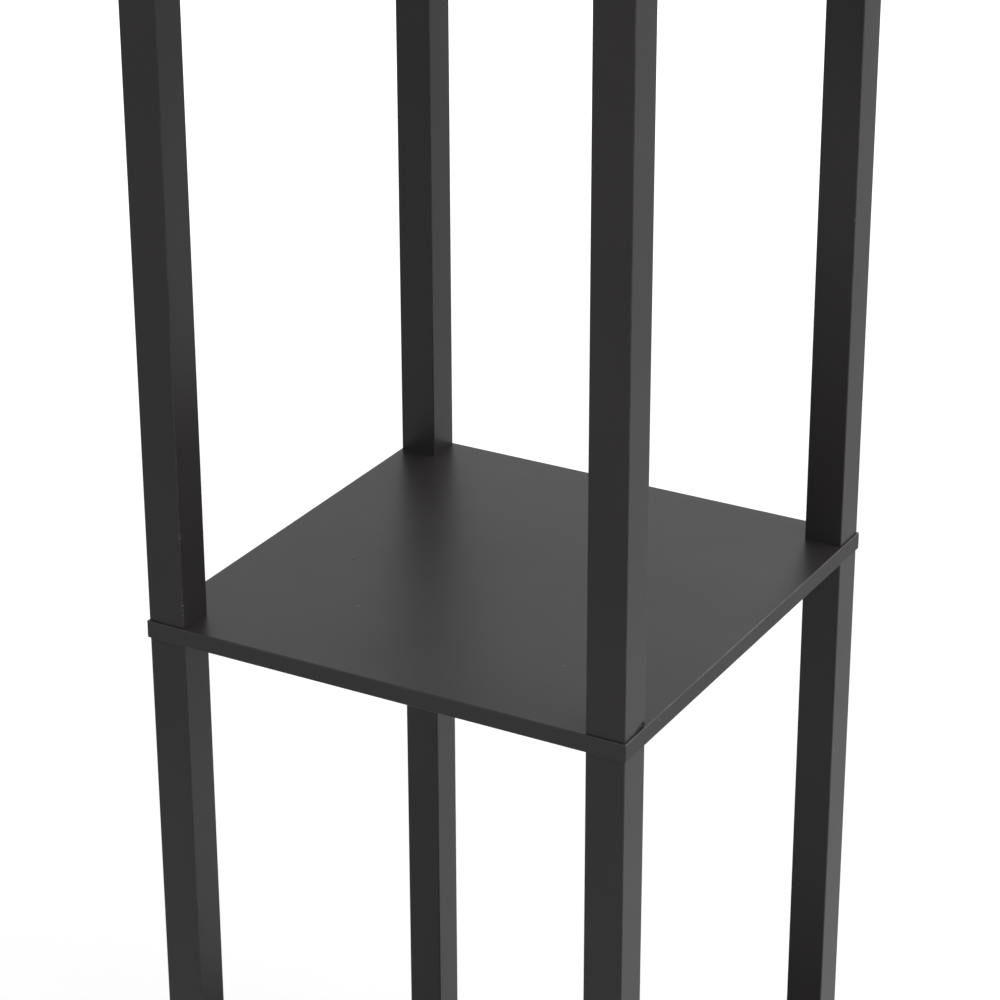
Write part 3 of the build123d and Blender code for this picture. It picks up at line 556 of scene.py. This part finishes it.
skin_path = square_path(skin_half, skin_corner)
skin_low = shade_base + skin_margin
skin_tall = shade_top - shade_base - 2 * skin_margin
outer_rows = []
inner_rows = []
for row in range(skin_rise + 1):
    share = row / skin_rise
    height = skin_low + skin_tall * share
    bulge = math.sin(math.pi * share)
    hollow = panel_bow * bulge
    outer = []
    inner = []
    for x, y, out_x, out_y in skin_path:
        slack = min(abs(x), abs(y)) / skin_half
        pull = hollow * math.cos(math.pi / 2 * slack)
        wave = wandering_wave(x + y, height, turns=170, sway=9, slow_turns=21)
        off = -pull + ripple_depth * wave * bulge
        outer.append((x + out_x * off, y + out_y * off, height))
        inset = off - skin_thickness
        inner.append((x + out_x * inset, y + out_y * inset, height))
    outer_rows.append(outer)
    inner_rows.append(inner)
shade_cover = ring_mesh("shade_cover", outer_rows + inner_rows[::-1])


def thread_slubs(finish, along, across):
    """Thick and thin places in threads that lie side by side, each thread with its own."""
    longest_shift = 57.0
    threads_apart = 13.7
    thread = sum_of(finish, "FLOOR", sum_of(finish, "MULTIPLY", across, 1 / slub_width))
    own = step(finish, "TexWhiteNoise", [("W", thread)], noise_dimensions="1D").outputs["Value"]
    run = sum_of(finish, "MULTIPLY", along, slubs_per_metre)
    shifted = sum_of(finish, "MULTIPLY_ADD", own, longest_shift, run)
    apart = sum_of(finish, "MULTIPLY", thread, threads_apart)
    thread_place = step(finish, "CombineXYZ", [(0, shifted), (1, apart)]).outputs[0]
    return mottle(finish, thread_place, detail=3.0)


def weave(finish, place):
    """Plain linen weave: how dark its threads are, and how high the cloth stands."""
    wanders_per_metre = 40.0
    axes = step(finish, "SeparateXYZ", [(0, place)])
    round_it = sum_of(finish, "ADD", axes.outputs[0], axes.outputs[1])
    wander = mottle(finish, place, wanders_per_metre)
    wander = sum_of(finish, "MULTIPLY", wander, thread_wander)
    warp = sum_of(finish, "ADD", round_it, wander)
    weft = sum_of(finish, "ADD", axes.outputs[2], wander)
    turns = 2 * math.pi / thread_pitch
    warp_wave = sum_of(finish, "SINE", sum_of(finish, "MULTIPLY", warp, turns))
    weft_wave = sum_of(finish, "SINE", sum_of(finish, "MULTIPLY", weft, turns))
    height = sum_of(finish, "MULTIPLY", warp_wave, weft_wave)
    warp_slubs = thread_slubs(finish, warp, weft)
    weft_slubs = thread_slubs(finish, weft, warp)
    return sum_of(finish, "ADD", warp_slubs, weft_slubs), height


def woven(name, pale, straw, relief_depth):
    """Natural linen: pale and straw threads, with painted shade in the gaps between them, and a
    soft nap.
    """
    straw_slubs = (0.72, 1.36)
    finish = begin_finish(name, cloth_roughness, cloth_shine)
    place = real_place(finish)
    slub, height = weave(finish, place)
    share = spread(finish, slub, *straw_slubs)
    # Painted shade: the low places between the threads are darkened.
    gap_painted_shade = spread(finish, height, -1.0, 1.0, gap_shade, 0.0)
    colour = between(finish, sum_of(finish, "ADD", share, gap_painted_shade), pale, straw)
    relief = raised(finish, slub, slub_relief)
    surface = finish.node_tree.nodes["Principled BSDF"]
    surface.inputs["Sheen Weight"].default_value = nap_strength
    surface.inputs["Sheen Roughness"].default_value = nap_roughness
    return connect(finish, base_color=colour, normal=raised(finish, height, relief_depth, relief))


linen = woven("shade_linen_cloth", linen_pale, linen_straw, thread_relief)
film = moulded("shade_film", film_white, film_grey, roughness=0.45, grain=0.000015)
shade_cover.data.materials.append(linen)
shade_cover.data.materials.append(film)
first_inner_point = len(skin_path) * (skin_rise + 1)
for face in shade_cover.data.polygons:
    if min(face.vertices) >= first_inner_point:
        face.material_index = 1
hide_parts("shade_skin")
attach(shade_cover, "shade")


# ---- Lap of the shade ----
# The free end of the linen strip, glued down over its start beside the rear left corner.
# It runs from trim to trim, and its pressed edge shows as a low upright step.
lap_width = 0.011
lap_thickness = 0.0005
lap_start = -0.1175
lap_eased = 0.0006
lap_edge_left = 0.35
lap_margin = 0.0098
lap_rises = 24


def strip_mesh(name, outline, low, high, rises):
    """A thin upright strip from a closed outline (x, y), between two heights."""
    mesh = bpy.data.meshes.new(name)
    count = len(outline)
    levels = [low + (high - low) * r / rises for r in range(rises + 1)]
    places = [(x, y, level) for level in levels for x, y in outline]
    faces = [tuple(range(count))[::-1], tuple(range(rises * count, (rises + 1) * count))]
    for r in range(rises):
        for i in range(count):
            ahead = (i + 1) % count
            low_edge = (r * count + i, r * count + ahead)
            faces.append(low_edge + ((r + 1) * count + ahead, (r + 1) * count + i))
    mesh.from_pydata(places, [], faces)
    piece = bpy.data.objects.new(name, mesh)
    bpy.context.scene.collection.objects.link(piece)
    return piece


lap_end = lap_start + lap_width
lap_under = skin_half - panel_bow
lap_over = skin_half + lap_thickness
lap_outline = [
    (lap_start, lap_over),
    (lap_end - lap_eased, lap_over),
    (lap_end, skin_half + lap_thickness * lap_edge_left),
    (lap_end, lap_under),
    (lap_start, lap_under),
]
lap_low = shade_base + lap_margin
lap_high = shade_top - lap_margin
shade_lap = strip_mesh("shade_lap", lap_outline, lap_low, lap_high, lap_rises)
shade_lap.data.materials.append(linen)
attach(shade_lap, "shade")


# ---- Trims of the shade ----
# Bias tape of the same linen, folded lengthwise, glued over the cover's top and bottom edges
# and rolled in round the wires. Its folded edge stands a little proud of the cover.
trim_half = 0.130
trim_thickness = 0.0007
trim_depth = 0.010
trim_corner = 0.0068
trim_lip = 0.0048
trim_wander = 0.00025
trim_relief = 0.00008
tape_pale = (0.85, 0.81, 0.73, 1.0)
tape_straw = (0.71, 0.66, 0.55, 1.0)


def trim_rows(edge, toward):
    """The tape's section taken round the shade as rows of points."""
    # Each pair is how far in from the outer face a point is, and how far from the shade's edge.
    section = [
        (0.0, trim_depth * 0.94),
        (0.0, trim_depth * 0.70),
        (0.0, trim_depth * 0.45),
        (0.0, trim_depth * 0.20),
        (0.00006, 0.0008),
        (0.0003, 0.00022),
        (0.0008, 0.0),
        (trim_lip * 0.55, 0.0),
        (trim_lip * 0.92, 0.00005),
        (trim_lip, 0.00028),
        (trim_lip, trim_thickness * 0.8),
        (trim_lip * 0.92, trim_thickness),
        (trim_thickness + 0.0006, trim_thickness),
        (trim_thickness + 0.0001, trim_thickness + 0.0003),
        (trim_thickness, trim_thickness + 0.0012),
        (trim_thickness, trim_depth * 0.45),
        (trim_thickness, trim_depth * 0.94),
        (trim_thickness * 0.75, trim_depth),
        (trim_thickness * 0.3, trim_depth),
    ]
    rows = []
    for inset, rise in section:
        row = []
        for x, y, out_x, out_y in square_path(trim_half, trim_corner):
            cut = trim_wander * wandering_wave(x - y, x + y, turns=61, sway=2.0, slow_turns=43)
            level = rise + cut * (rise / trim_depth) ** 2
            row.append((x - out_x * inset, y - out_y * inset, edge + toward * level))
        rows.append(row)
    return rows if toward < 0 else rows[::-1]


tape = woven("shade_tape", tape_pale, tape_straw, trim_relief)
bottom_trim = ring_mesh("bottom_trim", trim_rows(shade_base, 1))
top_trim = ring_mesh("top_trim", trim_rows(shade_top, -1))
for trim in (bottom_trim, top_trim):
    trim.data.materials.append(tape)
    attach(trim, "shade")
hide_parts("bottom_hem")
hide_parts("top_hem")


# ---- Shade ring ----
# A threaded ring of black phenolic with moulded grips. It screws down on the holder's thread
# and clamps the shade's fitter ring on the shoulder.
ring_phenolic = moulded("ring_phenolic", holder_black, holder_worn, roughness=0.34)
dress(ring_phenolic, "shade_ring")


# ---- Bulb ----
# A retrofit lamp: nickel screw base, white thermoplastic housing over the circuit board, and
# an opal polycarbonate globe cemented into its rim.
housing_white = (0.80, 0.80, 0.78, 1.0)
housing_warm = (0.74, 0.73, 0.69, 1.0)
opal_white = (0.86, 0.86, 0.84, 1.0)
opal_warm = (0.82, 0.80, 0.76, 1.0)
board_pale = (0.76, 0.77, 0.74, 1.0)
board_green = (0.60, 0.63, 0.58, 1.0)
opal_depth = (0.006, 0.006, 0.005)

housing_plastic = moulded("housing_plastic", housing_white, housing_warm, roughness=0.36)
dress(housing_plastic, "bulb_housing")
opal = moulded("opal_polycarbonate", opal_white, opal_warm, roughness=0.26, grain=0.00001)
let_light_in(opal, share=0.35, depth=opal_depth)
dress(opal, "bulb_globe")
circuit_board = moulded("circuit_board", board_pale, board_green, roughness=0.50)
dress(circuit_board, "led_board")


# ---- Floor, light and camera ----
# A pale studio floor that runs out to white in an even white room. The light is a soft ceiling,
# two large soft boxes, and two small ones kept on the shade. The camera stands where the
# photograph was taken, above and to the right of the front.
floor_half = 14.0
floor_tone = (0.68, 0.68, 0.68, 1.0)
floor_lift = 0.46
# How brightly the floor glows in reflections far from the lamp.
far_reflected_glow = 0.16
floor_roughness = 0.95
floor_fade = (0.7, 4.0)
reflected_glow_fade = (0.3, 1.8)
white = (1.0, 1.0, 1.0, 1.0)
room_light = 0.455
ceiling_power = 1.24
ceiling_spread = math.radians(70)
ceiling_place = Vector((0.55, 0.12, 1.0))
shade_middle = (0.0, 0.0, 1.42)
shade_box_side = 0.8
shade_box_spread = 34.0
camera_place = (0.7125, -1.2810, 1.1526)
camera_forward = Vector((-0.4467, 0.7950, -0.4104)).normalized()
camera_roll = math.radians(-0.15)
camera_lens = 117.75
camera_reach = 60.0


def ray_kinds(tree):
    """1 for a ray from the camera, and 1 for a ray that a glossy or clear surface sends on."""
    path = tree.nodes.new("ShaderNodeLightPath")
    either = tree.nodes.new("ShaderNodeMath")
    either.operation = "MAXIMUM"
    tree.links.new(path.outputs["Is Glossy Ray"], either.inputs[0])
    tree.links.new(path.outputs["Is Transmission Ray"], either.inputs[1])
    return path.outputs["Is Camera Ray"], either.outputs[0]


floor_mesh = bpy.data.meshes.new("studio_floor")
floor_signs = ((-1, -1), (1, -1), (1, 1), (-1, 1))
floor_edge = [(x * floor_half, y * floor_half, 0) for x, y in floor_signs]
floor_mesh.from_pydata(floor_edge, [], [(0, 1, 2, 3)])
studio_floor = bpy.data.objects.new("studio_floor", floor_mesh)
bpy.context.scene.collection.objects.link(studio_floor)
floor_finish = begin_finish("floor_paper", floor_roughness, shine=0.0)
floor_tree = floor_finish.node_tree
floor_surface = floor_tree.nodes["Principled BSDF"]
floor_surface.inputs["Base Color"].default_value = floor_tone
floor_surface.inputs["Emission Color"].default_value = white
floor_place = real_place(floor_finish)
from_middle = step(floor_finish, "VectorMath", [(0, floor_place)], operation="LENGTH")
distance = from_middle.outputs["Value"]
direct, mirrored = ray_kinds(floor_tree)
runs_out = spread(floor_finish, distance, *floor_fade, floor_lift, 1.0)
# Seen in reflections, the floor glows too, brightest near the lamp and fading outwards: a painted
# pool of light.
reflected_glow = spread(floor_finish, distance, *reflected_glow_fade, floor_lift, far_reflected_glow)
glow = sum_of(floor_finish, "MULTIPLY", mirrored, reflected_glow)
glow = sum_of(floor_finish, "MULTIPLY_ADD", direct, runs_out, glow)
floor_tree.links.new(glow, floor_surface.inputs["Emission Strength"])
floor_mesh.materials.append(floor_finish)

room = bpy.data.worlds.new("white_room")
room.use_nodes = True
bpy.context.scene.world = room
room_strength = room.node_tree.nodes.new("ShaderNodeMapRange")
room_strength.inputs["To Min"].default_value = room_light
room_strength.inputs["To Max"].default_value = 1.0
seen = room.node_tree.nodes.new("ShaderNodeMath")
seen.operation = "ADD"
for socket, rays in zip(seen.inputs, ray_kinds(room.node_tree)):
    room.node_tree.links.new(rays, socket)
room.node_tree.links.new(seen.outputs[0], room_strength.inputs["Value"])
backdrop = room.node_tree.nodes["Background"]
backdrop.inputs["Color"].default_value = white
room.node_tree.links.new(room_strength.outputs["Result"], backdrop.inputs["Strength"])


def facing(direction):
    """The turn that makes a light shine along a direction."""
    return direction.to_track_quat("-Z", "Y").to_euler()


def soft_light(name, place, aim, width, height, power, spread_degrees=180.0):
    """A rectangular soft box at place, turned to aim. Its light stays within spread_degrees."""
    lamp = bpy.data.lights.new(name, "AREA")
    lamp.shape = "RECTANGLE"
    lamp.size = width
    lamp.size_y = height
    lamp.energy = power
    lamp.spread = math.radians(spread_degrees)
    box = bpy.data.objects.new(name, lamp)
    box.location = place
    box.rotation_euler = facing(Vector(aim) - Vector(place))
    box.visible_camera = False
    bpy.context.scene.collection.objects.link(box)
    return box


ceiling = bpy.data.lights.new("ceiling_light", "SUN")
ceiling.energy = ceiling_power
ceiling.angle = ceiling_spread
ceiling_light = bpy.data.objects.new("ceiling_light", ceiling)
ceiling_light.rotation_euler = facing(-ceiling_place)
bpy.context.scene.collection.objects.link(ceiling_light)
soft_light(
    "right_box", (3.2, 0.4, 1.5), aim=(0.0, 0.0, 0.7), width=2.0, height=2.2, power=23.0
)
soft_light(
    "rear_right_box", (-0.2, 3.2, 1.95), aim=(0.1, 0.1, 0.45), width=1.4, height=1.4, power=10.0
)
for name, place, power in (
    ("shade_front_box", (-0.9, -1.9, 2.1), 1.3),
    ("shade_rear_box", (-1.5, 1.5, 2.1), 1.0),
):
    shade_box = soft_light(
        name,
        place,
        aim=shade_middle,
        width=shade_box_side,
        height=shade_box_side,
        power=power,
        spread_degrees=shade_box_spread,
    )
    shade_box.visible_glossy = False

camera = bpy.data.objects.new("camera", bpy.data.cameras.new("camera"))
camera.data.lens = camera_lens
camera.data.clip_end = camera_reach
bpy.context.scene.collection.objects.link(camera)
level_right = camera_forward.cross(Vector((0, 0, 1))).normalized()
level_up = level_right.cross(camera_forward)
right = level_right * math.cos(camera_roll) + level_up * math.sin(camera_roll)
up = level_up * math.cos(camera_roll) - level_right * math.sin(camera_roll)
turned = camera.matrix_world.to_3x3()
turned.col[0], turned.col[1], turned.col[2] = right, up, -camera_forward
camera.matrix_world = turned.to_4x4()
camera.location = camera_place
bpy.context.scene.camera = camera
bpy.context.scene.view_settings.view_transform = "Standard"
